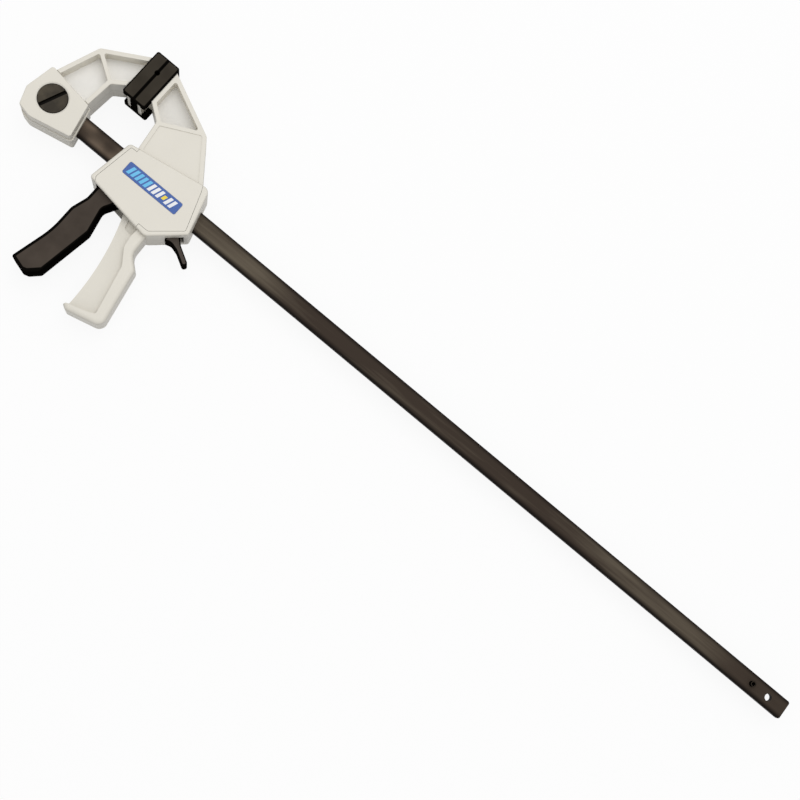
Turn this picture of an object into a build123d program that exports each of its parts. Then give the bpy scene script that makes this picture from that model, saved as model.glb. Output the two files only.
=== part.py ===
from build123d import *
import math
import os

# Quick release bar clamp, millimetres, jaws closed.
# +X runs along the bar to its free end, +Y out of the bar towards the jaws, +Z to the front.
# The origin is on the bar's centre line, in the plane where the two jaw pads meet.

os.makedirs("parts", exist_ok=True)

# ---------------------------------------------------------------- driving sizes
# Bar
bar_width = 22.0
bar_thickness = 6.0
bar_length = 1012.0
bar_tail = 75.5  # length of bar behind the jaw plane, inside the head
bar_corner_r = 2.5
bar_edge = 0.6
hang_hole_r = 4.0
hang_hole_inset = 23.0  # from the free end
stop_pin_r = 3.0
stop_pin_wall = 0.9
stop_pin_stand = 5.0  # how far the pin stands out of each face
stop_pin_inset = 46.3  # from the free end

# Clearances
slide_gap = 0.3  # bar in its windows
seat_gap = 0.1  # parts that are fitted together and stay
turn_gap = 0.05  # pins and shanks that turn
press_gap = 0.02  # pins held fast in the moulding
jaw_face_gap = 0.1  # each pad from the jaw plane
cover_line = 0.35  # line that shows round a cover, round the label and beside the head's core

# Jaws
arm_half = 18.3  # half thickness of the arms
arm_rim = 4.8
arm_web_half = 4.3
arm_rib = 4.0
arm_edge_r = 1.2
arm_panel_depth = 0.7
pocket_corner_r = 2.0

# Pads and the T plates that carry them
pad_proud = 1.6  # how far a pad stands out of its arm's side
pad_side_wall = 4.8
pad_depth = 14.5
pad_face = 4.2
pad_lip_x = 5.6
pad_low = 53.0
pad_high = 110.0
pad_end_wall = 4.0
pad_edge_r = 1.0
pad_back_corner_r = 2.4
pad_groove_r = 2.4  # round notch that holds rods upright
pad_groove_y = 91.0
tee_lip = 2.8  # T plate's overhang beside its neck
tee_root = 1.0  # how far a neck is sunk in its arm
tee_short = 1.0  # T plate's foot above the pad's open end
fixed_neck = (61.0, 97.5)
moving_neck = (65.0, 102.0)

# Head of the fixed jaw
head_half = 19.25
head_core_wall = 4.0  # moulding on each side of the bar
head_core_stand = 1.2  # how far the core stands out round the caps
head_cap_skin = 3.0
head_cap_edge_r = 1.2
lock_x = -60.4
lock_head_r = 15.5
lock_head_thick = 4.0
lock_ring_gap = 0.4
lock_bevel = 1.6  # width of the sloped ring round the screw's seat
lock_bevel_depth = 0.8
lock_shank_r = 5.0
lock_shank_gap = 0.2
lock_shank_short = 1.0  # shank's end inside the back face
lock_slot_width = 4.0
lock_slot_depth = 3.0
lock_slot_angle = 68.0
lock_nut_flats = 17.0
lock_nut_thick = 8.0

# Body of the moving jaw
cover_thick = 2.7
cover_long_edge = 50.0  # only rim edges longer than this are rounded
body_edge_r = 2.5
grip_half = 15.0
grip_web_half = 8.5
grip_edge_r = 5.0
grip_round_x = 90.0  # rim edges right of this and under the next height are rounded
grip_round_top = -46.0
grip_lip_depth = 1.5
grip_sweep_gap = 1.0  # trigger end to the grip's foot
grip_web_corner_r = 3.0
trigger_reach = 170.6  # pivot to the trigger's far end
screw_r = 2.0
screw_head_r = 3.4
screw_head_thick = 1.8
screw_cross_width = 1.0
screw_cross_length = 4.8
screw_cross_depth = 1.2
screw_bite = 11.0  # reach of the screws in front of the middle plane
boss_r = 4.0

# Trigger
pivot_x = 47.0
pivot_pin_r = 2.5
pivot_pin_short = 0.3  # pin's ends inside the arms' sides
pivot_pin_edge = 0.4
pivot_above_bar = 2.0  # bar to pin
trigger_half = 13.5
trigger_flange = 3.7
trigger_edge_r = 2.0
trigger_round_x = 36.0  # rim edges left of this and under the next height are rounded
trigger_round_top = -24.0
trigger_round_foot = -147.0  # and so are all under this height
fork_half = 9.5
fork_boss_r = 5.3
fork_bar_gap = 0.5
fork_swing_gap = 0.7
fork_floor = 6.0  # depth of the fork under the bar
fork_sink = 2.0  # how far the fork is sunk in the trigger's neck
fork_front_gap = 0.4  # fork to the drive plates
nose_x = 49.2
nose_r = 3.0
nose_below_bar = 6.0

# Drive plates and spring
drive_plate_thick = 3.0
drive_plate_half = 12.0
drive_plate_above = 4.0  # over the bar
drive_plate_below = 8.0  # under the bar
drive_plate_gap = 0.2
drive_plate_corner_r = 1.5
drive_spring_r = 13.1
drive_spring_wire_r = 1.0
drive_spring_turns = 6
rib_x = 97.0
rib_thick = 4.0

# Brake plate, its lever and spring
brake_x = 115.5
brake_above_bar = 6.5
brake_plate_thick = 5.0
brake_plate_half = 10.0
brake_tongue_half = 7.0
brake_cant = 3.0  # degrees, braked
brake_drop = 46.8  # pivot to the tongue's end
brake_shoulder = 38.5  # pivot to the tongue's shoulder
brake_gap = 0.2
brake_seat_reach = 2.9  # half width of the slot the plate swings in
brake_tongue_depth = 6.3  # depth of the lever's pocket over the tongue
lever_half = 10.5
lever_edge_r = 1.0
lever_door_gap = 0.5
brake_spring_r = 3.2
brake_spring_wire_r = 0.45
brake_spring_turns = 5
brake_spring_y = -15.6
brake_spring_x = (116.6, 126.4)  # from the brake plate to the body's rear wall
brake_peg_x = 121.5
brake_peg_r = 2.4
brake_peg_root = 4.0  # how far the peg runs past the spring, into the wall

# Label
label_length = 68.5
label_width = 14.3
label_thick = 0.6
label_sink = 0.3
label_x = 75.75
label_y = -5.9
label_corner_r = 1.8

# ---------------------------------------------------------------- worked out sizes
bar_start = -bar_tail
bar_end = bar_start + bar_length
bar_half = bar_thickness / 2
bar_side = bar_width / 2
window_half = bar_half + slide_gap
window_side = bar_side + slide_gap
pivot_y = bar_side + pivot_above_bar + pivot_pin_r
nose_y = -bar_side - nose_below_bar
fork_slot_half = bar_half + fork_bar_gap
drive_plate_x = pivot_x + fork_boss_r + fork_front_gap
drive_plate_step = drive_plate_thick + seat_gap
drive_bay_top = bar_side + drive_plate_above + 2 * slide_gap
head_core_half = bar_half + head_core_wall
brake_y = bar_side + brake_above_bar
tee_near = jaw_face_gap + pad_face + seat_gap
tee_far = jaw_face_gap + pad_depth - pad_lip_x
neck_x = jaw_face_gap + pad_depth + 2 * seat_gap  # where an arm meets its T plate's neck
body_half = arm_half + cover_thick
pad_half = arm_half + pad_proud
tee_half = pad_half - pad_side_wall
tee_neck_half = tee_half - tee_lip
pivot_pin_half = arm_half - pivot_pin_short
label_face = body_half - label_sink
reach = bar_length  # far past every jaw, for cuts that run out of a piece

# ---------------------------------------------------------------- outlines
# Each outline is a list of (x, y, corner radius) in order round the shape.
head_front_outline = [
    (-82.3, 26.4, 3.0),
    (-29.2, 18.4, 2.0),
    (-20.9, -19.4, 3.0),
    (-66.0, -29.8, 12.0),
    (-81.4, -26.2, 2.5),
    (-88.3, -7.2, 5.0),
]
head_outline = [
    (-82.3, 26.4, 3.5),
    (-29.2, 18.4, 2.0),
    (-20.9, -19.4, 3.0),
    (-78.2, -31.6, 14.0),
    (-88.3, -7.2, 8.0),
]
fixed_arm_outline = [
    (-81.3, 15.0, 0),
    (-60.5, 73.0, 6.0),
    (-5.0, 107.1, 0),
    (-5.0, 67.1, 0),
    (-27.5, 50.8, 4.0),
    (-31.0, 10.0, 0),
]
moving_arm_outline = [
    (5.0, 109.9, 0),
    (81.0, 73.3, 5.0),
    (123.9, 14.0, 0),
    (37.6, 14.0, 0),
    (32.5, 51.0, 5.0),
    (5.0, 71.5, 0),
]
body_outline = [
    (20.3, -37.8, 3.5),
    (28.2, 15.3, 5.0),
    (120.0, 32.0, 8.0),
    (134.5, -19.4, 3.5),
    (101.6, -49.8, 9.0),
]
trigger_outline = [
    (40.2, -21.5, 0),
    (31.2, -38.5, 4.0),
    (31.2, -55.0, 12.0),
    (25.8, -73.0, 14.0),
    (25.9, -103.0, 100.0),
    (14.6, -149.4, 2.5),
    (31.0, -154.4, 4.0),
    (36.5, -152.6, 3.0),
    (45.2, -144.0, 0),
    (55.2, -81.5, 6.0),
    (49.4, -54.0, 10.0),
    (57.4, -39.5, 2.0),
    (52.0, -28.0, 3.0),
    (50.6, -21.5, 0),
]
trigger_channel = [
    (35.0, -38.0, 1.5),
    (35.0, -55.5, 12.0),
    (29.6, -74.0, 14.0),
    (29.7, -103.0, 100.0),
    (18.9, -147.2, 1.5),
    (27.5, -149.8, 1.0),
    (27.5, -165.0, 0),
    (75.0, -165.0, 0),
    (75.0, -38.0, 0),
]
lever_outline = [
    (108.0, -21.3, 1.5),
    (124.0, -21.6, 3.0),
    (134.0, -31.0, 12.0),
    (152.2, -41.6, 2.6),
    (148.6, -46.4, 2.6),
    (133.6, -37.8, 8.0),
    (124.4, -35.2, 8.0),
    (117.4, -37.6, 1.0),
    (117.4, -30.8, 0.5),
    (108.0, -31.6, 2.0),
]
lever_door = [
    (117.1, -60.0, 0),
    (117.1, -28.0, 0),
    (126.0, -20.5, 0),
    (130.9, -20.5, 0),
    (130.9, -60.0, 0),
]
lever_relief = [
    (107.0, -30.0, 0),
    (107.0, -41.7, 0),
    (129.6, -20.9, 0),
    (126.0, -20.0, 0),
]
grip_back_outline = [
    (88.6, -149.2),
    (84.8, -154.2),
    (90.0, -157.8),
    (129.6, -148.2),
    (117.0, -81.5),
    (104.0, -70.0),
    (102.8, -44.0),
]
grip_back_radii = [0, 5.2, 9.0, 6.0, 14.0]
grip_front_top = (69.0, -44.0)
grip_front_middle = (82.2, -88.0)
grip_web_outline = [
    (121.8, -165.0, 0),
    (104.3, -87.0, 12.0),
    (92.6, -70.0, 12.0),
    (90.7, -58.0, 10.0),
    (91.8, -30.0, 0),
    (50.0, -30.0, 0),
    (50.0, -165.0, 0),
]
grip_lip_outline = [
    (75.9, -40.0, 0),
    (90.5, -40.0, 0),
    (89.4, -56.3, 3.0),
    (79.4, -54.4, 2.0),
]
screw_places = [(32.6, -19.0), (88.0, 21.2), (107.0, 22.8), (92.0, -36.0)]
cover_outline = [
    (39.2, 60.0, 0),
    (39.2, 13.0, 0),
    (32.2, 13.0, 2.0),
    (25.2, -33.4, 2.0),
    (27.9, -38.9, 0),
    (27.9, -80.0, 0),
    (89.4, -80.0, 0),
    (89.4, -43.6, 0),
    (101.3, -43.6, 5.0),
    (129.9, -18.5, 3.0),
    (115.5, 23.5, 4.0),
    (112.4, 30.0, 0),
    (112.4, 60.0, 0),
]
front_bay_outline = [
    (29.3, -80.0, 0),
    (29.3, -33.2, 0),
    (25.8, -33.2, 0.5),
    (32.0, 9.0, 2.0),
    (52.2, 9.0, 1.0),
    (52.2, drive_bay_top, 0),
    (rib_x, drive_bay_top, 1.0),
    (rib_x, -15.0, 1.0),
    (78.5, -15.0, 1.0),
    (78.5, -80.0, 0),
]
rear_bay_outline = [
    (rib_x + rib_thick, 14.6, 1.0),
    (rib_x + rib_thick, -38.0, 2.0),
    (105.6, -40.0, 2.0),
    (128.8, -18.6, 1.5),
    (120.2, 14.6, 1.0),
]
moving_rib_ends = ((32.5, 49.6), (81.0, 75.2))


def fill(outline):
    """Fill an outline of (x, y, radius) corners inside the active sketch."""
    points = [(x, y) for x, y, _ in outline]
    with BuildLine() as rim:
        FilletPolyline(points, radius=[r for _, _, r in outline], close=True)
    make_face(rim.edges())


def block(x_low, x_high, y_low, y_high, mode=Mode.ADD):
    """A rectangle given by its sides, inside the active sketch."""
    with Locations(((x_low + x_high) / 2, (y_low + y_high) / 2)):
        Rectangle(x_high - x_low, y_high - y_low, mode=mode)


def rib_between(a, b, width, mode=Mode.ADD):
    """A straight strip from one corner of an arm to the other, longer than both."""
    angle = math.degrees(math.atan2(b[1] - a[1], b[0] - a[0]))
    length = math.dist(a[:2], b[:2])
    with Locations(((a[0] + b[0]) / 2, (a[1] + b[1]) / 2)):
        Rectangle(length, width, rotation=angle, mode=mode)


def soften(radius):
    """Round every outward corner of the active sketch."""
    offset(amount=-radius, mode=Mode.REPLACE)
    offset(amount=radius, mode=Mode.REPLACE)


def both_sides_cut(shape, floor):
    """Cut a middle-plane sketch out of both sides of the active part, down to floor."""
    for side in (1, -1):
        raised = shape.moved(Location((0, 0, side * floor)))
        extrude(raised, amount=reach, dir=(0, 0, side), mode=Mode.SUBTRACT)


def front_side_of_trigger(edge):
    """True for rim edges from the neck down the finger side and round the foot."""
    middle = edge.center()
    return middle.X < trigger_round_x and middle.Y < trigger_round_top or middle.Y < trigger_round_foot


def back_side_of_grip(edge):
    """True for rim edges down the back of the grip and round its foot."""
    middle = edge.center()
    return middle.X > grip_round_x and middle.Y < grip_round_top


def head_top(x):
    """Height of the head's upper edge at x."""
    (x0, y0, _), (x1, y1, _) = head_outline[0], head_outline[1]
    return y0 + (y1 - y0) * (x - x0) / (x1 - x0)


def tee(side, neck):
    """T plate and neck at an arm's end; side is -1 for the fixed jaw, +1 for the moving one."""
    with BuildSketch(Plane.XY) as plate:
        near, far = sorted((side * tee_near, side * tee_far))
        block(near, far, pad_low + tee_short, pad_high - pad_end_wall - seat_gap)
    extrude(plate.sketch, amount=tee_half, both=True)
    with BuildSketch(Plane.XY) as stem:
        near, far = sorted((side * tee_near, side * (neck_x + tee_root)))
        block(near, far, *neck)
    extrude(stem.sketch, amount=tee_neck_half, both=True)


# ---------------------------------------------------------------- bar
with BuildPart() as bar:
    with BuildSketch(Plane.XY.offset(-bar_half)):
        with Locations(((bar_start + bar_end) / 2, 0)):
            RectangleRounded(bar_length, bar_width, bar_corner_r)
    extrude(amount=bar_thickness)
    rims = bar.edges().group_by(Axis.Z)
    chamfer(rims[0] + rims[-1], bar_edge)
    with Locations((bar_end - hang_hole_inset, 0, bar_half)):
        Hole(hang_hole_r)
    with Locations((bar_end - stop_pin_inset, 0, bar_half)):
        Hole(stop_pin_r + press_gap)
    with Locations((lock_x, 0, bar_half)):
        Hole(lock_shank_r + lock_shank_gap)

# A rolled spring pin that stops the moving jaw before it runs off the bar.
with BuildPart() as stop_pin:
    with BuildSketch(Plane.XY):
        with Locations((bar_end - stop_pin_inset, 0)):
            Circle(stop_pin_r)
            Circle(stop_pin_r - stop_pin_wall, mode=Mode.SUBTRACT)
        with Locations((bar_end - stop_pin_inset + stop_pin_r, 0)):
            Rectangle(2 * stop_pin_r, stop_pin_wall, mode=Mode.SUBTRACT)
    extrude(amount=bar_half + stop_pin_stand, both=True)

# ---------------------------------------------------------------- fixed jaw
with BuildPart() as fixed_jaw:
    with BuildSketch(Plane.XY):
        fill(fixed_arm_outline)
        with BuildLine():
            Polyline(
                (-reach, head_top(-reach) + seat_gap),
                (-neck_x, head_top(-neck_x) + seat_gap),
                (-neck_x, reach),
                (-reach, reach),
                close=True,
            )
        make_face(mode=Mode.INTERSECT)
    extrude(amount=arm_half, both=True)
    rims = fixed_jaw.edges().group_by(Axis.Z)
    fillet(rims[0] + rims[-1], arm_edge_r)
    with BuildSketch(Plane.XY, mode=Mode.PRIVATE) as pockets:
        fill(fixed_arm_outline)
        offset(amount=-arm_rim, mode=Mode.REPLACE)
        rib_between(fixed_arm_outline[1], fixed_arm_outline[4], arm_rib, Mode.SUBTRACT)
        soften(pocket_corner_r)
    both_sides_cut(pockets.sketch, arm_web_half)
    with BuildSketch(Plane.XY):
        fill(head_outline)
        offset(amount=head_core_stand, mode=Mode.REPLACE)
    extrude(amount=head_core_half - cover_line, both=True)
    with BuildSketch(Plane.XY):
        block(bar_start - seat_gap, 0, -bar_side - seat_gap, bar_side + seat_gap)
    extrude(amount=bar_half + seat_gap, both=True, mode=Mode.SUBTRACT)
    with Locations((lock_x, 0, head_core_half)):
        Hole(lock_shank_r + lock_shank_gap)
    tee(-1, fixed_neck)


def head_cap(side, outline, seat_r, seat_depth, boss_radius):
    """One cheek of the head, with a round seat for the screw, or a hexagonal one for the nut."""
    inner = Plane.XY.offset(side * head_core_half)
    thick = head_half - head_core_half
    with BuildPart() as cap:
        with BuildSketch(inner):
            fill(outline)
        extrude(amount=side * thick)
        outer_rim = cap.edges().group_by(Axis.Z)[-1 if side > 0 else 0]
        fillet(outer_rim, head_cap_edge_r)
        with BuildSketch(inner):
            fill(outline)
            offset(amount=-head_cap_skin, mode=Mode.REPLACE)
            with Locations((lock_x, 0)):
                Circle(boss_radius, mode=Mode.SUBTRACT)
        extrude(amount=side * (thick - head_cap_skin), mode=Mode.SUBTRACT)
        with BuildSketch(inner):
            with Locations((lock_x, 0)):
                Circle(lock_shank_r + lock_shank_gap)
        extrude(amount=side * reach, mode=Mode.SUBTRACT)
        if seat_r:
            with BuildSketch(Plane.XY.offset(side * (head_half - seat_depth))):
                with Locations((lock_x, 0)):
                    Circle(seat_r)
            extrude(amount=side * reach, mode=Mode.SUBTRACT)
            with Locations((lock_x, 0, head_half - lock_bevel_depth / 2)):
                Cone(seat_r, seat_r + lock_bevel, lock_bevel_depth, mode=Mode.SUBTRACT)
        else:
            with BuildSketch(Plane.XY.offset(side * (head_half - seat_depth))):
                with Locations((lock_x, 0)):
                    RegularPolygon(lock_nut_flats / 2 + seat_gap, 6, major_radius=False)
            extrude(amount=side * reach, mode=Mode.SUBTRACT)
    return cap.part


front_seat_r = lock_head_r + lock_ring_gap
front_seat_depth = lock_head_thick + seat_gap
back_seat_depth = lock_nut_thick + seat_gap
nut_corner_r = lock_nut_flats / math.sqrt(3)
head_front_cap = head_cap(
    1, head_front_outline, front_seat_r, front_seat_depth, front_seat_r + head_cap_skin
)
head_back_cap = head_cap(-1, head_outline, 0, back_seat_depth, nut_corner_r + head_cap_skin)

# Slotted screw that holds the fixed jaw on the bar.
with BuildPart() as lock_screw:
    with BuildSketch(Plane.XY.offset(head_half - lock_head_thick)):
        with Locations((lock_x, 0)):
            Circle(lock_head_r)
    extrude(amount=lock_head_thick)
    chamfer(lock_screw.edges().group_by(Axis.Z)[-1], bar_edge)
    with BuildSketch(Plane.XY.offset(head_half - lock_slot_depth)):
        with Locations((lock_x, 0)):
            Rectangle(3 * lock_head_r, lock_slot_width, rotation=lock_slot_angle)
    extrude(amount=lock_head_thick, mode=Mode.SUBTRACT)
    with BuildSketch(Plane.XY.offset(head_half - lock_head_thick)):
        with Locations((lock_x, 0)):
            Circle(lock_shank_r)
    extrude(amount=-(2 * head_half - lock_head_thick - lock_shank_short))
    chamfer(lock_screw.edges().group_by(Axis.Z)[0], bar_edge)

with BuildPart() as lock_nut:
    with BuildSketch(Plane.XY.offset(-head_half + lock_nut_thick)):
        with Locations((lock_x, 0)):
            RegularPolygon(lock_nut_flats / 2, 6, major_radius=False)
            Circle(lock_shank_r + turn_gap, mode=Mode.SUBTRACT)
    extrude(amount=-lock_nut_thick)


def jaw_pad(side):
    """Rubber cap that slides over a T plate; open at its lower end."""
    face_x = jaw_face_gap
    back_x = jaw_face_gap + pad_depth
    hollow_x = face_x + pad_face
    end = pad_high - pad_end_wall
    with BuildPart() as pad:
        with BuildSketch(Plane.XY):
            block(*sorted((side * face_x, side * back_x)), pad_low, pad_high)
        extrude(amount=pad_half, both=True)
        corners = pad.edges().filter_by(Axis.Z).sort_by(Axis.X)
        fillet(corners[-2:] if side > 0 else corners[:2], pad_back_corner_r)
        rims = pad.edges().group_by(Axis.Z)
        fillet(rims[0] + rims[-1], pad_edge_r)
        with BuildSketch(Plane.XY):
            block(*sorted((side * hollow_x, side * (tee_far + seat_gap))), 0, end)
        extrude(amount=tee_half + seat_gap, both=True, mode=Mode.SUBTRACT)
        with BuildSketch(Plane.XY):
            block(*sorted((side * hollow_x, side * reach)), 0, end)
        extrude(amount=tee_neck_half + seat_gap, both=True, mode=Mode.SUBTRACT)
        with BuildSketch(Plane.XY):
            with Locations((0, pad_groove_y)):
                Circle(pad_groove_r)
        extrude(amount=reach, both=True, mode=Mode.SUBTRACT)
    return pad.part


fixed_jaw_pad = jaw_pad(-1)
moving_jaw_pad = jaw_pad(1)

# ---------------------------------------------------------------- moving jaw, body and grip
with BuildPart() as arm:
    with BuildSketch(Plane.XY):
        fill(moving_arm_outline)
        block(neck_x, reach, 0, reach, Mode.INTERSECT)
    extrude(amount=arm_half, both=True)
    rims = arm.edges().group_by(Axis.Z)
    fillet(rims[0] + rims[-1], arm_edge_r)
    with BuildSketch(Plane.XY, mode=Mode.PRIVATE) as fields:
        fill(moving_arm_outline)
        offset(amount=-arm_rim, mode=Mode.REPLACE)
        rib_between(*moving_rib_ends, arm_rib, Mode.SUBTRACT)
        block(neck_x + arm_rim, reach, 0, reach, Mode.INTERSECT)
        soften(pocket_corner_r)
    panel, pocket = fields.faces().sort_by(Axis.Y)
    both_sides_cut(pocket, arm_web_half)
    both_sides_cut(panel, arm_half - arm_panel_depth)
    tee(1, moving_neck)

with BuildPart() as grip:
    with BuildSketch(Plane.XY):
        with BuildLine():
            FilletPolyline(grip_back_outline, radius=grip_back_radii)
            Line(grip_back_outline[-1], grip_front_top)
            ThreePointArc(grip_front_top, grip_front_middle, grip_back_outline[0])
        make_face()
    extrude(amount=grip_half, both=True)
    rims = grip.edges().group_by(Axis.Z)
    fillet((rims[0] + rims[-1]).filter_by(back_side_of_grip), grip_edge_r)
    with BuildSketch(Plane.XY, mode=Mode.PRIVATE) as web:
        fill(grip_web_outline)
        with Locations((pivot_x, pivot_y)):
            Circle(trigger_reach + grip_sweep_gap, mode=Mode.INTERSECT)
        soften(grip_web_corner_r)
    both_sides_cut(web.sketch, grip_web_half)
    with BuildSketch(Plane.XY, mode=Mode.PRIVATE) as lip:
        fill(grip_lip_outline)
    both_sides_cut(lip.sketch, grip_web_half - grip_lip_depth)

with BuildPart() as moving_jaw:
    with BuildSketch(Plane.XY):
        fill(body_outline)
    extrude(amount=body_half, both=True)
    rims = moving_jaw.edges().group_by(Axis.Z)
    fillet(rims[0] + rims[-1], body_edge_r)
    add(arm.part)
    with BuildSketch(Plane.XY, mode=Mode.PRIVATE) as land:
        fill(cover_outline)
    both_sides_cut(land.sketch, arm_half)
    for bay in (front_bay_outline, rear_bay_outline):
        with BuildSketch(Plane.XY.offset(-arm_half)):
            fill(bay)
        extrude(amount=2 * arm_half, mode=Mode.SUBTRACT)
    with Locations((pivot_x, pivot_y, arm_half)):
        Hole(pivot_pin_r + press_gap)
    add(grip.part)
    with Locations(*[(x, y, arm_half) for x, y in screw_places]):
        Hole(boss_r + slide_gap)
    # windows for the bar
    with BuildSketch(Plane.XY):
        block(0, reach, -window_side, window_side)
    extrude(amount=window_half, both=True, mode=Mode.SUBTRACT)
    # room for the trigger's fork
    with BuildSketch(Plane.XY):
        with Locations((pivot_x, pivot_y)):
            Circle(fork_boss_r + fork_bar_gap)
        block(pivot_x - fork_boss_r - fork_swing_gap, pivot_x + fork_boss_r, 0, pivot_y)
    extrude(amount=fork_half + fork_bar_gap, both=True, mode=Mode.SUBTRACT)
    # seat for the brake plate's head
    with BuildSketch(Plane.XY):
        with Locations((brake_x, brake_y)):
            Circle(brake_plate_thick / 2 + seat_gap)
        block(brake_x - brake_seat_reach, brake_x + brake_seat_reach, bar_side, brake_y)
    extrude(amount=brake_plate_half + slide_gap, both=True, mode=Mode.SUBTRACT)
    # way out for the release lever
    for opening in (lever_door, lever_relief):
        with BuildSketch(Plane.XY):
            fill(opening)
        extrude(amount=lever_half + lever_door_gap, both=True, mode=Mode.SUBTRACT)
    # peg for the brake spring
    with BuildSketch(Plane.YZ.offset(brake_peg_x)):
        with Locations((brake_spring_y, 0)):
            Circle(brake_peg_r)
    extrude(amount=brake_spring_x[1] + brake_peg_root - brake_peg_x)


def cover(side):
    """Flush plate over one side of the body, with the bosses that take the screws."""
    with BuildPart() as plate:
        with BuildSketch(Plane.XY.offset(side * arm_half)):
            fill(cover_outline)
            offset(amount=-cover_line, mode=Mode.REPLACE)
            with BuildSketch(mode=Mode.INTERSECT):
                fill(body_outline)
        extrude(amount=side * cover_thick)
        rim = plate.edges().group_by(Axis.Z)[-1 if side > 0 else 0]
        fillet(rim.filter_by(lambda edge: edge.length > cover_long_edge), body_edge_r)
        with BuildSketch(Plane.XY.offset(side * seat_gap)):
            with Locations(*screw_places):
                Circle(boss_r)
        extrude(amount=side * (arm_half - seat_gap))
    return plate.part


front_cover = cover(1)
back_cover = cover(-1)

# holes and seats that the two covers don't share
with BuildPart() as front_cover_cut:
    add(front_cover)
    with BuildSketch(Plane.XY.offset(label_face)):
        with Locations((label_x, label_y)):
            RectangleRounded(label_length, label_width, label_corner_r)
        offset(amount=cover_line, mode=Mode.REPLACE)
    extrude(amount=cover_thick, mode=Mode.SUBTRACT)
    with BuildSketch(Plane.XY):
        with Locations(*screw_places):
            Circle(screw_r + turn_gap)
    extrude(amount=screw_bite + slide_gap, mode=Mode.SUBTRACT)

with BuildPart() as back_cover_cut:
    add(back_cover)
    with BuildSketch(Plane.XY):
        with Locations(*screw_places):
            Circle(screw_r + turn_gap)
    extrude(amount=-reach, mode=Mode.SUBTRACT)
    with BuildSketch(Plane.XY.offset(-body_half + screw_head_thick + seat_gap)):
        with Locations(*screw_places):
            Circle(screw_head_r + seat_gap)
    extrude(amount=-reach, mode=Mode.SUBTRACT)

with BuildPart() as cover_screws:
    with BuildSketch(Plane.XY.offset(-body_half)):
        with Locations(*screw_places):
            Circle(screw_head_r)
    extrude(amount=screw_head_thick)
    with BuildSketch(Plane.XY.offset(-body_half)):
        with Locations(*screw_places):
            Circle(screw_r)
    extrude(amount=body_half + screw_bite)
    with BuildSketch(Plane.XY.offset(-body_half)):
        with Locations(*screw_places):
            Rectangle(screw_cross_length, screw_cross_width)
            Rectangle(screw_cross_width, screw_cross_length)
    extrude(amount=screw_cross_depth, mode=Mode.SUBTRACT)

with BuildPart() as label_plate:
    with BuildSketch(Plane.XY.offset(label_face)):
        with Locations((label_x, label_y)):
            RectangleRounded(label_length, label_width, label_corner_r)
    extrude(amount=label_thick)

# ---------------------------------------------------------------- trigger
with BuildPart() as trigger:
    with BuildSketch(Plane.XY):
        fill(trigger_outline)
    extrude(amount=trigger_half, both=True)
    rims = trigger.edges().group_by(Axis.Z)
    fillet((rims[0] + rims[-1]).filter_by(front_side_of_trigger), trigger_edge_r)
    with BuildSketch(Plane.XY):
        fill(trigger_channel)
    extrude(amount=trigger_half - trigger_flange, both=True, mode=Mode.SUBTRACT)
    with BuildSketch(Plane.XY):
        with Locations((pivot_x, pivot_y)):
            Circle(fork_boss_r)
        with Locations((nose_x, nose_y)):
            Circle(nose_r)
        with BuildLine():
            Polyline(
                (pivot_x - fork_boss_r, pivot_y),
                (pivot_x + fork_boss_r, pivot_y),
                (nose_x + nose_r, nose_y),
                (trigger_outline[-1][0], trigger_outline[-1][1] - fork_sink),
                (trigger_outline[0][0], trigger_outline[0][1] - fork_sink),
                close=True,
            )
        make_face()
    extrude(amount=fork_half, both=True)
    with BuildSketch(Plane.XY):
        block(0, reach, -bar_side - fork_floor, reach)
    extrude(amount=fork_slot_half, both=True, mode=Mode.SUBTRACT)
    with Locations((pivot_x, pivot_y, fork_half)):
        Hole(pivot_pin_r + turn_gap)

with BuildPart() as trigger_pin:
    with BuildSketch(Plane.XY):
        with Locations((pivot_x, pivot_y)):
            Circle(pivot_pin_r)
    extrude(amount=pivot_pin_half, both=True)
    ends = trigger_pin.edges().group_by(Axis.Z)
    chamfer(ends[0] + ends[-1], pivot_pin_edge)


# ---------------------------------------------------------------- drive plates and spring
def drive_plate(x_low):
    """Square plate with a close hole, which tilts and grips the bar."""
    with BuildPart() as plate:
        with BuildSketch(Plane.YZ.offset(x_low)):
            with Locations(((drive_plate_above - drive_plate_below) / 2, 0)):
                RectangleRounded(
                    bar_width + drive_plate_above + drive_plate_below,
                    2 * drive_plate_half,
                    drive_plate_corner_r,
                )
            Rectangle(
                bar_width + 2 * drive_plate_gap, bar_thickness + 2 * drive_plate_gap, mode=Mode.SUBTRACT
            )
        extrude(amount=drive_plate_thick)
    return plate.part


drive_plate_front = drive_plate(drive_plate_x)
drive_plate_rear = drive_plate(drive_plate_x + drive_plate_step)


def coil(x_low, x_high, y, radius, wire_r, turns):
    """Coil spring lying along X, whole wire between x_low and x_high."""
    length = x_high - x_low - 2 * wire_r
    with BuildPart() as spring:
        with BuildLine() as path:
            middle = (x_low + wire_r, y, 0)
            Helix(length / turns, length, radius, center=middle, direction=(1, 0, 0))
        start = path.line @ 0
        with BuildSketch(Plane(origin=start, z_dir=path.line % 0)) as wire:
            Circle(wire_r)
        sweep(wire.sketch, path=path.line, is_frenet=True)
    return spring.part


spring_x = drive_plate_x + drive_plate_step + drive_plate_thick + seat_gap
drive_spring = coil(
    spring_x, rib_x - seat_gap, 0, drive_spring_r, drive_spring_wire_r, drive_spring_turns
)

# ---------------------------------------------------------------- brake
cant = math.radians(brake_cant)
brake_frame = Plane(
    origin=(brake_x, brake_y, 0), x_dir=(math.cos(cant), -math.sin(cant), 0), z_dir=(0, 0, 1)
)
bar_below_pivot = brake_y / math.cos(cant)
brake_hole = 2 * (
    bar_side / math.cos(cant) + brake_plate_thick / 2 * math.tan(cant) + brake_gap
)

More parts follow.
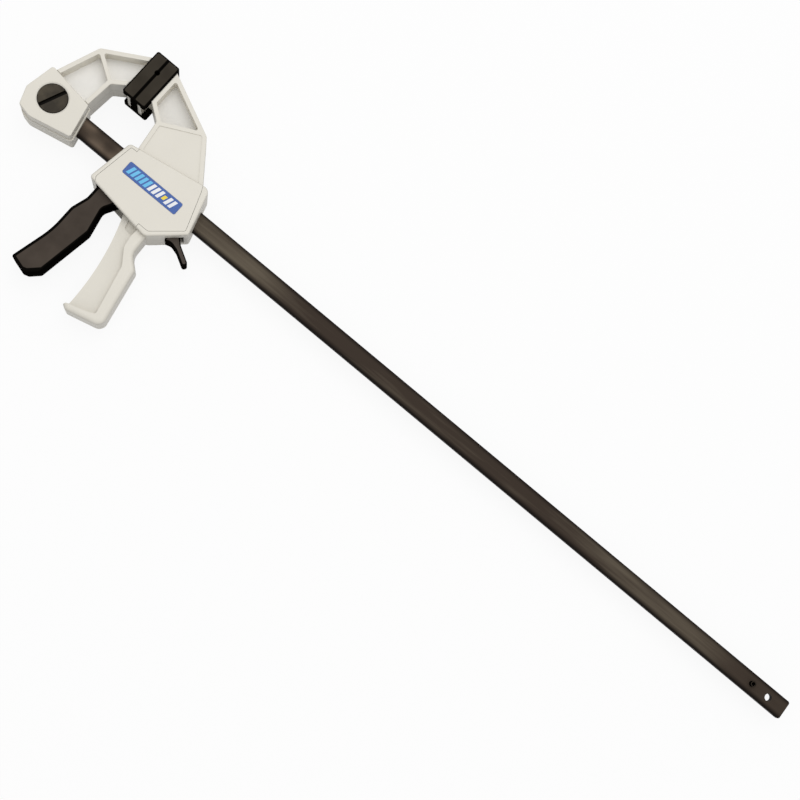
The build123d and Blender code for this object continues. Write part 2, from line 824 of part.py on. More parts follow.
with BuildPart() as brake_plate:
    with BuildSketch(brake_frame):
        Circle(brake_plate_thick / 2)
        block(-brake_plate_thick / 2, brake_plate_thick / 2, -brake_shoulder, 0)
    extrude(amount=brake_plate_half, both=True)
    with BuildSketch(brake_frame):
        block(-brake_plate_thick / 2, brake_plate_thick / 2, -brake_drop, -brake_shoulder)
    extrude(amount=brake_tongue_half, both=True)
    with BuildSketch(brake_frame):
        with Locations((0, -bar_below_pivot)):
            Rectangle(2 * brake_plate_thick, brake_hole)
    extrude(amount=bar_half + brake_gap, both=True, mode=Mode.SUBTRACT)

with BuildPart() as release_lever:
    with BuildSketch(Plane.XY):
        fill(lever_outline)
    extrude(amount=lever_half, both=True)
    rims = release_lever.edges().group_by(Axis.Z)
    fillet(rims[0] + rims[-1], lever_edge_r)
    with BuildSketch(brake_frame):
        half = brake_plate_thick / 2 + seat_gap
        block(-half, half, -brake_drop - seat_gap, -brake_shoulder + brake_tongue_depth)
    extrude(amount=brake_tongue_half + seat_gap, both=True, mode=Mode.SUBTRACT)

brake_spring = coil(
    *brake_spring_x, brake_spring_y, brake_spring_r, brake_spring_wire_r, brake_spring_turns
)

# ---------------------------------------------------------------- names and files
pieces = {
    "bar": bar.part,
    "stop_pin": stop_pin.part,
    "fixed_jaw": fixed_jaw.part,
    "head_front_cap": head_front_cap,
    "head_back_cap": head_back_cap,
    "lock_screw": lock_screw.part,
    "lock_nut": lock_nut.part,
    "fixed_jaw_pad": fixed_jaw_pad,
    "moving_jaw": moving_jaw.part,
    "front_cover": front_cover_cut.part,
    "back_cover": back_cover_cut.part,
    "cover_screws": cover_screws.part,
    "label_plate": label_plate.part,
    "moving_jaw_pad": moving_jaw_pad,
    "trigger": trigger.part,
    "trigger_pin": trigger_pin.part,
    "drive_plate_front": drive_plate_front,
    "drive_plate_rear": drive_plate_rear,
    "drive_spring": drive_spring,
    "brake_plate": brake_plate.part,
    "release_lever": release_lever.part,
    "brake_spring": brake_spring,
}
for label, piece in pieces.items():
    piece.label = label
    export_step(piece, f"parts/{label}.step")
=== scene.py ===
# %% [markdown]
# # A quick release bar clamp, dressed
#
# The clamp is a long blackened steel bar with a light grey fixed jaw bolted to its
# end and a sliding jaw that carries a grip, a trigger and a release lever. The solids
# come ready from the frame. This lesson gives each of them its finish, marks where dust
# lies on the dark ones and where their painted black shade goes, marks the jaws' pocket
# walls that are spared the painted wall shade, winds the two springs as fine wire and
# prints the label. Everything is in metres: +X runs along the bar, +Y towards the jaw
# pads and +Z up, out of the clamp's front.

# %% Load the frame
import math

import bmesh
import bpy
from mathutils import Euler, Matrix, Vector
from mathutils.geometry import delaunay_2d_cdt


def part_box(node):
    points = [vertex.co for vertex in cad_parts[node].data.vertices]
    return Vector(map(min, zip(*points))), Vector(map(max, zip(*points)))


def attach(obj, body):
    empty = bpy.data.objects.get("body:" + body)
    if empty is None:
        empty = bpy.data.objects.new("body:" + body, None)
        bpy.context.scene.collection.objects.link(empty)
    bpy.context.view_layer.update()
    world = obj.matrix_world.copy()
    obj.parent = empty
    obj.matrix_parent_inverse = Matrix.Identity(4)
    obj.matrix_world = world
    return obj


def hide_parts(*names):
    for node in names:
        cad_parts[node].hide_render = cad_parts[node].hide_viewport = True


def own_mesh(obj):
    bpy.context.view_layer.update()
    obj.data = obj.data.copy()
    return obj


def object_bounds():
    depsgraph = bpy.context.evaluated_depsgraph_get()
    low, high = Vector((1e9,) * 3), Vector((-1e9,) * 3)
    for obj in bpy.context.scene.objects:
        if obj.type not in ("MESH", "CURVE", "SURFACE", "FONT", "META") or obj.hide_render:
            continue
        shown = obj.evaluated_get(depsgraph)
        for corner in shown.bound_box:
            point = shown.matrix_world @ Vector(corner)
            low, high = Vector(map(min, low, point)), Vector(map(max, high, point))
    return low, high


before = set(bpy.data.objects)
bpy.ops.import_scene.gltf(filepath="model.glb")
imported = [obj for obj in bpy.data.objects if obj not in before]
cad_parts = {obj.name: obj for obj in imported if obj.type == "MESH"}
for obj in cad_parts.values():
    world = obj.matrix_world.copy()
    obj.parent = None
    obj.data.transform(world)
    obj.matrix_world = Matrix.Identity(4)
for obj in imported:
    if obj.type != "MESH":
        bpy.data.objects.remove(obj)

cad_low, cad_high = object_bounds()
print("solids", len(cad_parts), "box", tuple(cad_low), tuple(cad_high))

# %% [markdown]
# ## Nodes that every finish shares
#
# A finish is a small shader tree. Its patterns read Object coordinates, so they stay
# on a piece while it moves, and they need no unwrapping. A few helpers cover all of
# them: a new empty finish, a noise of a given grain, a bump made from a noise, and two
# ways to lay one colour over another. One colour for the whole surface goes straight
# onto the shader's own socket.

# %% Shader helpers
MM = 0.001


def new_finish(name, color, roughness, gloss=0.5):
    """A finish with one plain colour: itself, its tree, its shader and its coordinates."""
    finish = bpy.data.materials.new(name)
    finish.use_nodes = True
    tree = finish.node_tree
    shader = tree.nodes["Principled BSDF"]
    shader.inputs["Base Color"].default_value = (*color, 1.0)
    shader.inputs["Roughness"].default_value = roughness
    shader.inputs["Specular IOR Level"].default_value = gloss
    place = tree.nodes.new("ShaderNodeTexCoord")
    print("finish", name)
    return finish, tree, shader, place


def noise(tree, vector, grain, detail=3.0):
    """Cloudy pattern from 0 to 1 whose spots are about grain metres across."""
    cloud = tree.nodes.new("ShaderNodeTexNoise")
    cloud.inputs["Scale"].default_value = 1.0 / grain
    cloud.inputs["Detail"].default_value = detail
    tree.links.new(vector, cloud.inputs["Vector"])
    return cloud.outputs["Fac"]


def relief(tree, shader, height, depth):
    """Small relief of the given depth in metres on the shader's normal."""
    bump = tree.nodes.new("ShaderNodeBump")
    bump.inputs["Distance"].default_value = depth
    tree.links.new(height, bump.inputs["Height"])
    tree.links.new(bump.outputs["Normal"], shader.inputs["Normal"])


def between(tree, factor, low_color, high_color, low=0.3, high=0.7):
    """Two colours, blended as factor goes from low to high, the usual span of a noise."""
    blend = tree.nodes.new("ShaderNodeValToRGB")
    first, last = blend.color_ramp.elements
    first.position, last.position = low, high
    first.color, last.color = (*low_color, 1.0), (*high_color, 1.0)
    tree.links.new(factor, blend.inputs["Fac"])
    return blend.outputs["Color"]


def over(tree, mask, below, color):
    """A plain colour laid over another one where the mask is 1."""
    layer = tree.nodes.new("ShaderNodeMix")
    layer.data_type = "RGBA"
    layer.inputs["B"].default_value = (*color, 1.0)
    tree.links.new(mask, layer.inputs["Factor"])
    tree.links.new(below, layer.inputs["A"])
    return layer.outputs["Result"]


def darker(color, share):
    """The same colour with that share of its light."""
    return tuple(channel * share for channel in color)


print("helpers ready")

# %% [markdown]
# ## Masks from place and direction
#
# Many marks on a moulding follow its own planes: a line at mid-height, a floor that
# looks up, an edge that looks aside. Two small measures say where they are. One is how
# far a point lies from a plane across an axis, and the other how squarely the surface
# looks along Z. A smooth step turns either into a mask. Both read the piece's own
# coordinates, so they never slide. What neither can tell, such as how near an edge is,
# the mesh itself can carry as a number of its own.

# %% Masks
LEVEL_FROM, LEVEL_FULL = 0.9, 0.99  # flatness over which a surface passes from wall to level


def part_of(tree, vector, axis):
    """One coordinate of a vector."""
    parts = tree.nodes.new("ShaderNodeSeparateXYZ")
    tree.links.new(vector, parts.inputs["Vector"])
    return parts.outputs[axis]


def arithmetic(tree, operation, first, second=0.0):
    """One sum, product or the like of two numbers or sockets, kept from 0 up to 1."""
    sum_node = tree.nodes.new("ShaderNodeMath")
    sum_node.operation = operation
    sum_node.use_clamp = operation in ("MULTIPLY", "ADD", "SUBTRACT")
    for socket, value in zip(sum_node.inputs, (first, second)):
        if isinstance(value, float):
            socket.default_value = value
        else:
            tree.links.new(value, socket)
    return sum_node.outputs["Value"]


def rise(tree, value, low, high):
    """0 below low, 1 above high, and smooth between; the other way round if low is larger."""
    scale = tree.nodes.new("ShaderNodeMapRange")
    scale.interpolation_type = "SMOOTHSTEP"
    scale.inputs["From Min"].default_value = min(low, high)
    scale.inputs["From Max"].default_value = max(low, high)
    scale.inputs["To Min"].default_value = 0.0 if low < high else 1.0
    scale.inputs["To Max"].default_value = 1.0 if low < high else 0.0
    tree.links.new(value, scale.inputs["Value"])
    return scale.outputs["Result"]


def distance(tree, place, axis, centre=0.0):
    """Distance of a point from a plane across an axis, in metres."""
    off = tree.nodes.new("ShaderNodeMath")
    off.operation = "SUBTRACT"
    off.inputs[1].default_value = centre
    tree.links.new(part_of(tree, place.outputs["Object"], axis), off.inputs[0])
    return arithmetic(tree, "ABSOLUTE", off.outputs["Value"])


def flatness(tree, place):
    """1 where the surface looks straight up or down, 0 where it is a side wall."""
    return arithmetic(tree, "ABSOLUTE", part_of(tree, place.outputs["Normal"], "Z"))


def marked(tree, attribute):
    """A number that the mesh carries under that name, and 0 where it carries none."""
    mark = tree.nodes.new("ShaderNodeAttribute")
    mark.attribute_name = attribute
    return mark.outputs["Fac"]


print("masks ready")

# %% [markdown]
# ## Jaw plastic
#
# Both jaws, the grip and the covers are one glass-filled plastic in a warm light grey.
# Such a moulding is not quite even: it clouds a little and its skin has a fine grain.
# The thin webs between the ribs are paler and more mottled, most of all on the fixed arm:
# partly their own whiter skin, partly painted light that lifts them out of the shade of
# their pockets. The side walls are painted darker as shade, less so towards the arms'
# tips, and not at all in the pockets round the webs, which a later step marks on the
# mesh. A fine line runs round the side walls at mid-thickness, where the two halves of
# the mould met. It is a colour by height, because it is far thinner than any wall.

# %% Jaw plastic
JAW_GREY = (0.735, 0.702, 0.625)
CLOUD_GREY = darker(JAW_GREY, 0.965)
# painted shade: the darker grey laid on the side walls
WALL_SHADE_GREY = darker(JAW_GREY, 0.74)
LINE_GREY = darker(JAW_GREY, 0.5)
# the webs' own whiter skin, with painted light that lifts them out of their pockets' shade
WEB_PALE_AND_LIT = (0.875, 0.86, 0.825)
WEB_CLOUD = darker(WEB_PALE_AND_LIT, 0.93)
WEB_GREY = (0.74, 0.725, 0.69)
JAW_GRAIN, WEB_GRAIN = 45 * MM, 16 * MM  # size of the clouds
SKIN_GRAIN, SKIN_DEPTH = 0.5 * MM, 0.03 * MM
GREY_SHARE = 0.9  # how much of the sliding jaw's web tone is that grey
JAWS_MEET = 2 * MM  # half width of the stretch where one jaw's tone passes to the other's
WEB_HIGHEST = 5.2 * MM  # above or below mid-thickness
WEB_FADE = 1.05  # where the webs' tone ends, in such heights
WALL_FROM, WALL_FULL = 0.96, 0.3  # flatness over which the walls' painted shade comes in
PARTING_FROM, PARTING_FULL = 0.6, 0.4  # and the parting line
PARTING_HALF = 0.22 * MM
PARTING_FADE = 2.2  # where the line ends, in half widths
TIP_FROM, TIP_TO = 56 * MM, 70 * MM  # heights over the bar between which the walls' painted shade weakens
TIP_SHADE_LIFT = 0.7
# walls marked so are left out of the painted wall shade
POCKET = "pocket"  # attribute: 1 on the walls round a web, 0 elsewhere


def web_colour(tree, spot, height, flat, skin):
    """The skin's colour, with the pale mottled webs laid over it where the floor is low, partly as
    painted light.
    """
    level = rise(tree, flat, LEVEL_FROM, LEVEL_FULL)
    low = rise(tree, height, WEB_FADE * WEB_HIGHEST, WEB_HIGHEST)
    low_floor = arithmetic(tree, "MULTIPLY", level, low)
    cloud = noise(tree, spot, WEB_GRAIN, detail=5.0)
    sliding = rise(tree, part_of(tree, spot, "X"), -JAWS_MEET, JAWS_MEET)
    pale = between(tree, cloud, WEB_CLOUD, WEB_PALE_AND_LIT)
    mottle = over(tree, arithmetic(tree, "MULTIPLY", sliding, GREY_SHARE), pale, WEB_GREY)
    web = tree.nodes.new("ShaderNodeMix")
    web.data_type = "RGBA"
    tree.links.new(low_floor, web.inputs["Factor"])
    tree.links.new(skin, web.inputs["A"])
    tree.links.new(mottle, web.inputs["B"])
    return web.outputs["Result"]


def painted_wall_shade(tree, spot, flat):
    """Mask of the painted shade on the side walls, weaker at the arms' tips and gone in the
    pockets.
    """
    # the painted shade weakens towards the arms' tips and is left off the pocket walls
    tip = rise(tree, part_of(tree, spot, "Y"), TIP_FROM, TIP_TO)
    painted_shade_switch = arithmetic(tree, "MULTIPLY", tip, TIP_SHADE_LIFT)
    painted_shade_switch = arithmetic(tree, "MAXIMUM", painted_shade_switch, marked(tree, POCKET))
    wall_shade = arithmetic(tree, "SUBTRACT", 1.0, painted_shade_switch)
    return arithmetic(tree, "MULTIPLY", rise(tree, flat, WALL_FROM, WALL_FULL), wall_shade)


def jaw_plastic():
    """Warm light grey moulding: webs painted paler, partly as light, walls painted darker as shade,
    clouds and a parting line.
    """
    finish, tree, shader, place = new_finish(
        "jaw_plastic", JAW_GREY, roughness=0.42, gloss=0.4)
    spot = place.outputs["Object"]
    skin = between(tree, noise(tree, spot, JAW_GRAIN), CLOUD_GREY, JAW_GREY, high=0.75)
    height = distance(tree, place, "Z")
    flat = flatness(tree, place)
    webbed = web_colour(tree, spot, height, flat, skin)
    # painted shade on the side walls
    wall_shaded = over(tree, painted_wall_shade(tree, spot, flat), webbed, WALL_SHADE_GREY)
    at_middle = rise(tree, height, PARTING_FADE * PARTING_HALF, PARTING_HALF)
    on_wall = rise(tree, flat, PARTING_FROM, PARTING_FULL)
    line = arithmetic(tree, "MULTIPLY", at_middle, on_wall)
    tree.links.new(over(tree, line, wall_shaded, LINE_GREY), shader.inputs["Base Color"])
    relief(tree, shader, noise(tree, spot, SKIN_GRAIN), SKIN_DEPTH)
    return finish


# %% [markdown]
# ## Dark mouldings and rubber
#
# The trigger and the release lever are dark plastic. Their flat faces are grained and
# look a little brown, with dust on them, while the edges, the walls and the hollows are
# painted black as shade. The pads are soft rubber, darker and duller still. All are the
# same recipe with other colours, so one function makes them. How far each point of a
# flat lies from its rim, which places both the dust and the painted shade, is an
# attribute of the mesh, which a later step adds.

# %% Dark plastics and rubber
DARK_GLOSS = 0.0  # a gloss would turn the walls grey where they are seen at a low angle
# painted shade: the black laid on rims, walls and hollows
SHADE_BLACK = (0.004, 0.0035, 0.003)
DIM_SHARE, BRIGHT_SHARE = 0.82, 1.15  # of a dusty colour, in its clouds
DUST_GRAIN = 24 * MM
GRAIN_DEPTH = 0.05 * MM
# the number places both the dust and the painted black shade
DUST_AND_SHADE_MARK = "dust_and_shade"  # attribute: how far the rim of an outer flat is, in rim widths; 0 elsewhere
RIM_FROM, RIM_TO = 0.75, 1.2  # the share of a rim width over which the painted black shade gives way to the dust


def dark_moulding(name, face, roughness, grain):
    """Dark plastic or rubber: dust in clouds on its outer flats, black painted as shade on edges,
    walls and hollows.
    """
    finish, tree, shader, place = new_finish(name, face, roughness, DARK_GLOSS)
    spot = place.outputs["Object"]
    dim, bright = darker(face, DIM_SHARE), darker(face, BRIGHT_SHARE)
    flats = between(tree, noise(tree, spot, DUST_GRAIN), dim, bright)
    # painted shade: black on the rims, and on the walls and hollows, which carry no number
    painted_shade_switch = rise(tree, marked(tree, DUST_AND_SHADE_MARK), RIM_TO, RIM_FROM)
    tree.links.new(over(tree, painted_shade_switch, flats, SHADE_BLACK), shader.inputs["Base Color"])
    relief(tree, shader, noise(tree, spot, grain), GRAIN_DEPTH)
    return finish


# %% [markdown]
# ## Blackened bar
#
# The bar is flat steel blackened in oil: dark brown grey, with a low sheen. Its face
# turns black towards its long edges, and its side walls are painted black as shade. Use
# wears the face paler in clouds, least where the jaw seldom reaches. Long soft clouds
# follow the bar and fine streaks run along it. The ends are darker: the free end with
# oil, the head end with a painted shadow of the head, and near the head a few brown
# smudges show where the jaws are clamped most. A Mapping node that squeezes the
# coordinates along X turns round noise into streaks.

# %% Blackened bar
BAR_DARK = (0.045, 0.033, 0.025)
BAR_WORN = (0.118, 0.097, 0.071)
BAR_EDGE_AND_WALL_SHADE = (0.008, 0.006, 0.005)
BAR_SMUDGE = (0.150, 0.112, 0.082)
BAND_MIDDLE = 0.5 * MM  # Y of the middle of the face's paler band
BAND_HALF, EDGE_HALF = 5 * MM, 11 * MM  # from there: where the black starts and where it is full
STREAK_GRAIN, STREAK_SQUEEZE = 3 * MM, 0.05
STREAK_DEPTH = 0.04 * MM
STREAK_SHARE = 0.4  # of the wear; the long clouds make the rest
LONG_GRAIN, LONG_SQUEEZE = 16 * MM, 0.12
SMUDGE_X = -8 * MM
SMUDGE_REACH = 55 * MM
SMUDGE_GRAIN = 20 * MM
SMUDGE_FROM, SMUDGE_FULL = 0.27, 0.66  # of the noise
# darker ends: oil at the free end, a painted shadow of the head at the head end
OIL_AND_SHADOW_SHARE = 0.85
DARK_X = 430 * MM  # the middle of the long stretch that the jaw seldom reaches
DARK_REACH = 270 * MM
DARK_FULL = 0.45  # where that stretch is darkest, in reaches from its middle
DARK_SHARE = 0.22


def stretched(tree, place, along_x):
    """Object coordinates squeezed along X, so that a noise on them streaks along X."""
    mapping = tree.nodes.new("ShaderNodeMapping")
    mapping.inputs["Scale"].default_value = (along_x, 1.0, 1.0)
    tree.links.new(place.outputs["Object"], mapping.inputs["Vector"])
    return mapping.outputs["Vector"]


def blackened_bar():
    """Dark brown steel, paler along the middle and worn in clouds, with walls painted black as
    shade.
    """
    finish, tree, shader, place = new_finish(
        "blackened_bar", BAR_DARK, roughness=0.45, gloss=0.03)
    bar_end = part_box("bar")[1].x
    streaks = noise(tree, stretched(tree, place, STREAK_SQUEEZE), STREAK_GRAIN, detail=4.0)
    clouds = noise(tree, stretched(tree, place, LONG_SQUEEZE), LONG_GRAIN, detail=2.0)
    fine = arithmetic(tree, "MULTIPLY", streaks, STREAK_SHARE)
    broad = arithmetic(tree, "MULTIPLY", clouds, 1.0 - STREAK_SHARE)
    wear = arithmetic(tree, "ADD", fine, broad)
    from_dark = distance(tree, place, "X", DARK_X)
    seldom = rise(tree, from_dark, DARK_REACH, DARK_FULL * DARK_REACH)
    wear = arithmetic(tree, "SUBTRACT", wear, arithmetic(tree, "MULTIPLY", seldom, DARK_SHARE))
    steel = between(tree, wear, BAR_DARK, BAR_WORN, high=0.64)
    head_end = rise(tree, distance(tree, place, "X", SMUDGE_X), SMUDGE_REACH, 0.5 * SMUDGE_REACH)
    free_end = rise(tree, distance(tree, place, "X", bar_end), 2 * SMUDGE_REACH, SMUDGE_REACH)
    blots = noise(tree, place.outputs["Object"], SMUDGE_GRAIN, detail=0.0)
    spots = rise(tree, blots, SMUDGE_FROM, SMUDGE_FULL)
    # painted shadow of the head at the head end, oil at the free end
    oil_and_shadow = arithmetic(tree, "MAXIMUM", head_end, free_end)
    oiled_and_shadowed = over(tree, arithmetic(tree, "MULTIPLY", oil_and_shadow, OIL_AND_SHADOW_SHARE), steel, BAR_DARK)
    smudged = over(tree, arithmetic(tree, "MULTIPLY", head_end, spots), oiled_and_shadowed, BAR_SMUDGE)
    edge = rise(tree, distance(tree, place, "Y", BAND_MIDDLE), BAND_HALF, EDGE_HALF)
    # painted shade: the side walls and rounded edges are black
    bar_wall_shade = rise(tree, flatness(tree, place), LEVEL_FULL, LEVEL_FROM)
    black = arithmetic(tree, "MAXIMUM", edge, bar_wall_shade)
    tree.links.new(over(tree, black, smudged, BAR_EDGE_AND_WALL_SHADE), shader.inputs["Base Color"])
    relief(tree, shader, streaks, STREAK_DEPTH)
    return finish


# %% [markdown]
# ## Screw head and plain steel
#
# The slotted head is blackened like the bar, but it was turned on a lathe, so its fine
# rings run round the screw, and its slot is painted black as shade. The inner plates,
# the trigger's pin, the nut, the small screws and the springs are plain plated steel that
# hardly shows; one brushed finish in two tones does for them.

# %% Steel finishes
SCREW_WORN = (0.078, 0.066, 0.048)
SCREW_DULL = (0.042, 0.036, 0.028)
SLOT_SHADE_BLACK = (0.004, 0.003, 0.002)
SCREW_GRAIN = 14 * MM
RING_GRAIN, RING_WOBBLE, RING_DEPTH = 3 * MM, 1.5, 0.03 * MM
SLOT_RIM = 0.5 * MM
BRUSH_GRAIN, BRUSH_SQUEEZE, BRUSH_DEPTH = 0.8 * MM, 0.1, 0.02 * MM
PLATED_GREY = (0.5, 0.5, 0.52)
SPRING_GREY = (0.3, 0.3, 0.32)


def turned_black(centre_x, top):
    """Blackened steel with fine rings round its own axis, and black painted as shade in the slot
    below its top.
    """
    finish, tree, shader, place = new_finish(
        "turned_black", SCREW_WORN, roughness=0.45, gloss=0.05)
    spot = place.outputs["Object"]
    centred = tree.nodes.new("ShaderNodeMapping")
    centred.inputs["Location"].default_value = (-centre_x, 0.0, 0.0)
    tree.links.new(spot, centred.inputs["Vector"])
    rings = tree.nodes.new("ShaderNodeTexWave")
    rings.wave_type, rings.rings_direction = "RINGS", "Z"
    rings.inputs["Scale"].default_value = 1.0 / RING_GRAIN
    rings.inputs["Distortion"].default_value = RING_WOBBLE
    tree.links.new(centred.outputs["Vector"], rings.inputs["Vector"])
    clouds = noise(tree, spot, SCREW_GRAIN)
    tone = between(tree, clouds, SCREW_DULL, SCREW_WORN, low=0.35, high=0.65)
    # painted shade: black in the slot below the head's top
    slot = rise(tree, part_of(tree, spot, "Z"), top - 0.4 * SLOT_RIM, top - SLOT_RIM)
    tree.links.new(over(tree, slot, tone, SLOT_SHADE_BLACK), shader.inputs["Base Color"])
    relief(tree, shader, rings.outputs["Fac"], RING_DEPTH)
    return finish


def plated_steel(name, color):
    """Plain brushed steel."""
    finish, tree, shader, place = new_finish(name, color, roughness=0.35)
    shader.inputs["Metallic"].default_value = 0.9
    brushed = noise(tree, stretched(tree, place, BRUSH_SQUEEZE), BRUSH_GRAIN)
    relief(tree, shader, brushed, BRUSH_DEPTH)
    return finish


# %% [markdown]
# ## Label plate
#
# The label is a thin plate of printed plastic. The plate is plain blue with a lacquer
# over it; its generic print, a row of slanted bars, is laid on it later as thin pieces.

# %% Label finishes
LABEL_BLUE = (0.028, 0.095, 0.36)
PRINT_SKY = (0.12, 0.5, 0.82)
PRINT_WHITE = (0.82, 0.83, 0.85)
PRINT_YELLOW = (0.86, 0.66, 0.04)
COAT, COAT_ROUGH = 0.25, 0.15
INK_GRAIN, INK_SHADE = 8 * MM, 0.92


def lacquer(name, color):
    """Printed colour under a thin clear coat."""
    finish, tree, shader, place = new_finish(name, color, roughness=0.4, gloss=0.3)
    shader.inputs["Coat Weight"].default_value = COAT
    shader.inputs["Coat Roughness"].default_value = COAT_ROUGH
    clouds = noise(tree, place.outputs["Object"], INK_GRAIN)
    ink = between(tree, clouds, darker(color, INK_SHADE), color)
    tree.links.new(ink, shader.inputs["Base Color"])
    return finish


# %% [markdown]
# ## Give every solid its finish
#
# A solid keeps its shape and only gets a finish. Each finish is made once and shared. The
# rolled pin near the bar's end is as dark and dusty as the mouldings, so it takes their
# recipe.

# %% Finish the solids
TRIGGER_BROWN = (0.064, 0.0515, 0.042)
LEVER_BROWN = (0.080, 0.067, 0.057)
PAD_BROWN = (0.044, 0.0375, 0.029)
PIN_BROWN = (0.05, 0.04, 0.03)

screw_low, screw_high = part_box("lock_screw")
screw_x = (screw_low.x + screw_high.x) / 2
light_moulding = jaw_plastic()
trigger_dark = dark_moulding("trigger_dark", TRIGGER_BROWN, roughness=0.45, grain=0.6 * MM)
lever_dark = dark_moulding("lever_dark", LEVER_BROWN, roughness=0.45, grain=0.6 * MM)
pad_black = dark_moulding("pad_black", PAD_BROWN, roughness=0.6, grain=0.8 * MM)
bar_dark = blackened_bar()
pin_dark = dark_moulding("pin_dark", PIN_BROWN, roughness=0.4, grain=0.5 * MM)
screw_dark = turned_black(screw_x, screw_high.z)
plated = plated_steel("plated_steel", PLATED_GREY)
spring_wire = plated_steel("spring_wire", SPRING_GREY)
label_blue = lacquer("label_blue", LABEL_BLUE)

FINISH_OF = {
    "bar": bar_dark,
    "stop_pin": pin_dark,
    "fixed_jaw": light_moulding,
    "head_front_cap": light_moulding,
    "head_back_cap": light_moulding,
    "lock_screw": screw_dark,
    "lock_nut": plated,
    "fixed_jaw_pad": pad_black,
    "moving_jaw": light_moulding,
    "front_cover": light_moulding,
    "back_cover": light_moulding,
    "cover_screws": plated,
    "label_plate": label_blue,
    "moving_jaw_pad": pad_black,
    "trigger": trigger_dark,
    "trigger_pin": plated,
    "drive_plate_front": plated,
    "drive_plate_rear": plated,
    "brake_plate": plated,
    "release_lever": lever_dark,
    "drive_spring": spring_wire,
    "brake_spring": spring_wire,
}

for node, finish in FINISH_OF.items():
    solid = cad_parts[node]
    solid.data.materials.clear()
    solid.data.materials.append(finish)
print("finished", len(FINISH_OF), "solids")

# %% [markdown]
# ## Dust and painted shade on the dark pieces
#
# Dust and skin oil lighten the middle of a dark flat, while its rim is painted black as
# shade. A colour can't know how far it is from a rim, so the mesh tells it: in a copy of
# the solid each outer flat is filled again with a fine net between the same edges, and
# every corner of the net carries its distance to the nearest edge. The shape stays the
# same to the last corner.
#
# The solid is loose triangles, so its copy is welded first. That would smooth its faces
# in another way, so every face corner keeps the solid's own normal as a number of its
# own, and gets it back when the copy is closed.

# %% Copies of solids
WELD = 0.002 * MM
STRAIGHT_UP = 0.999  # flatness above which a face of the mesh counts as level
NORMALS = "solid_normal"  # attribute of a copy while it is edited: the solid's normals


def merged(node):
    """An editable copy of a solid whose faces share their corners and keep their normals."""
    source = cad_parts[node].data.copy()
    normals = [part for corner in source.corner_normals for part in corner.vector]
    source.attributes.new(NORMALS, "FLOAT_VECTOR", "CORNER").data.foreach_set("vector", normals)
    build = bmesh.new()
    build.from_mesh(source)
    bpy.data.meshes.remove(source)
    bmesh.ops.remove_doubles(build, verts=build.verts, dist=WELD)
    return build


def stand_in(build, node, name, body):
    """Close an edited copy: it gets the solid's finish and takes the solid's place."""
    mesh = bpy.data.meshes.new(name)
    build.to_mesh(mesh)
    build.free()
    mesh.materials.append(FINISH_OF[node])
    normals = [tuple(corner.vector) for corner in mesh.attributes[NORMALS].data]
    mesh.attributes.remove(mesh.attributes[NORMALS])
    mesh.normals_split_custom_set(normals)
    piece = bpy.data.objects.new(name, mesh)
    bpy.context.collection.objects.link(piece)
    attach(piece, body)
    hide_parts(node)
    print(name, len(mesh.polygons), "faces")


def level_faces(build, height, reach):
    """The faces that look straight up or down and lie within reach of a height."""
    return [
        face for face in build.faces
        if abs(face.normal.z) > STRAIGHT_UP
        and abs(face.calc_center_median().z - height) < reach
    ]


# %% [markdown]
# The net starts as a staggered grid of spots inside the flat's outline. Each spot is
# kept with its distance from the outline, and one that would lie too close is left out,
# because it would make needles of the triangles beside it.

# %% A net inside an outline
CLEAR_OF_EDGE = 0.4  # how far a spot stays from the outline, in steps of the grid


def to_edge(spot, outline):
    """How far a spot lies from the nearest piece of an outline."""
    nearest = math.inf
    for start, end in outline:
        along = end - start
        share = min(1.0, max(0.0, (spot - start).dot(along) / along.length_squared))
        nearest = min(nearest, (spot - start - along * share).length)
    return nearest


def is_inside(spot, outline):
    """Whether a line from the spot to the right crosses the outline an odd number of times."""
    crossings = 0
    for start, end in outline:
        if (start.y > spot.y) != (end.y > spot.y):
            share = (spot.y - start.y) / (end.y - start.y)
            crossings += start.x + share * (end.x - start.x) > spot.x
    return crossings % 2 == 1


def net_of(outline, step):
    """Spots on a staggered grid inside an outline, not close to it, with their distances."""
    ends = [end for pair in outline for end in pair]
    low_x, high_x = min(end.x for end in ends), max(end.x for end in ends)
    low_y, high_y = min(end.y for end in ends), max(end.y for end in ends)
    net = []
    for row in range(int((high_y - low_y) / step) + 1):
        for column in range(int((high_x - low_x) / step) + 1):
            spot = Vector((low_x + (column + 0.5 * (row % 2)) * step, low_y + (row + 0.5) * step))
            if is_inside(spot, outline):
                reach = to_edge(spot, outline)
                if reach > CLEAR_OF_EDGE * step:
                    net.append((spot, reach))
    return net


# %% [markdown]
# A Delaunay triangulation joins the spots and the outline's own corners into even
# triangles and keeps the outline's edges as they are. The outline may have holes, so
# each triangle is only made if its middle lies inside. Both outer flats are level, so
# the new faces look straight up or straight down.

# %% Dusty copies
SAME_HEIGHT = 0.05 * MM
SAME_SPOT = 1e-8
INSIDE_OUTLINE = 1  # the triangulation's choice to fill only what the outline surrounds


